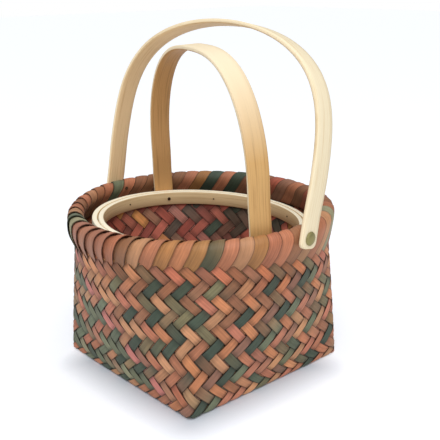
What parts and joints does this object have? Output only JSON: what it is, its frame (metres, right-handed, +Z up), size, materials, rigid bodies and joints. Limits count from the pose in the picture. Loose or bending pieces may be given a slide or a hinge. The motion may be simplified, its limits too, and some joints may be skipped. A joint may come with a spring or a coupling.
{
  "type": "nested plaited basket set",
  "caption": "Nested pair of plaited dyed wood-strip baskets with square bases and round mouths, a folded strip border, a hooped inner rim and bentwood swing handles on rivets.",
  "frame": {"origin": "centre of the larger basket's base, on the floor", "axes": "+Z up, +X and +Y along the sides of the larger basket's square base; the larger handle's rivets lie near the X axis"},
  "size_m": [0.2384, 0.2232, 0.2861],
  "materials": {
    "dyed_strips": "matt, plaited from dyed strips: salmon, brown and dark green",
    "dyed_border": "matt, folded dyed strips",
    "dark_strips": "matt, plaited from dark red and green strips",
    "pale_bentwood": "sanded, unvarnished",
    "hoop_wood": "sanded, unvarnished",
    "aged_brass": "dull, domed heads",
    "dark_iron": "dark nail heads"
  },
  "bodies": {
    "outer_basket": {"outer_body": "dyed_strips", "outer_rivet_left": "aged_brass", "outer_rivet_right": "aged_brass", "outer_border_folds_01": "dyed_border", "outer_border_folds_02": "dyed_border", "outer_border_folds_03": "dyed_border", "outer_border_folds_04": "dyed_border", "outer_border_folds_05": "dyed_border", "outer_border_folds_06": "dyed_border", "outer_border_folds_07": "dyed_border", "outer_border_folds_08": "dyed_border", "outer_border_folds_09": "dyed_border", "outer_border_folds_10": "dyed_border", "outer_border_folds_11": "dyed_border", "outer_border_folds_12": "dyed_border", "outer_border_folds_13": "dyed_border", "outer_border_folds_14": "dyed_border", "outer_border_folds_15": "dyed_border", "outer_border_folds_16": "dyed_border", "outer_border_folds_17": "dyed_border", "outer_border_folds_18": "dyed_border", "outer_border_folds_19": "dyed_border", "outer_border_folds_20": "dyed_border", "outer_border_folds_21": "dyed_border", "outer_border_folds_22": "dyed_border", "outer_border_folds_23": "dyed_border", "outer_border_folds_24": "dyed_border", "outer_border_folds_25": "dyed_border", "outer_border_folds_26": "dyed_border"},
    "outer_handle": {"outer_handle": "pale_bentwood"},
    "inner_basket": {"inner_body": "dark_strips", "inner_hoop_outside": "hoop_wood", "inner_hoop_inside": "hoop_wood", "inner_rivet_left": "aged_brass", "inner_rivet_right": "aged_brass", "inner_pin_01": "dark_iron", "inner_pin_02": "dark_iron", "inner_pin_03": "dark_iron", "inner_pin_04": "dark_iron", "inner_pin_05": "dark_iron", "inner_pin_06": "dark_iron"},
    "inner_handle": {"inner_handle": "pale_bentwood"}
  },
  "joints": [
    {"name": "outer_handle_swing", "type": "hinge", "parent": "outer_basket", "child": "outer_handle", "pos_m": [0, 0, 0.1318], "axis": [0.9976, 0.0698, 0], "range_deg": [-76, 100]},
    {"name": "inner_basket_lift", "type": "slide", "parent": "outer_basket", "child": "inner_basket", "axis": [0.0258, 0.0495, 0.9984], "range_m": [0, 0.01]},
    {"name": "inner_handle_swing", "type": "hinge", "parent": "inner_basket", "child": "inner_handle", "pos_m": [0.00133, 0.00593, 0.11814], "axis": [0.9662, -0.2574, -0.0122], "range_deg": [-28, 46]}
  ]
}
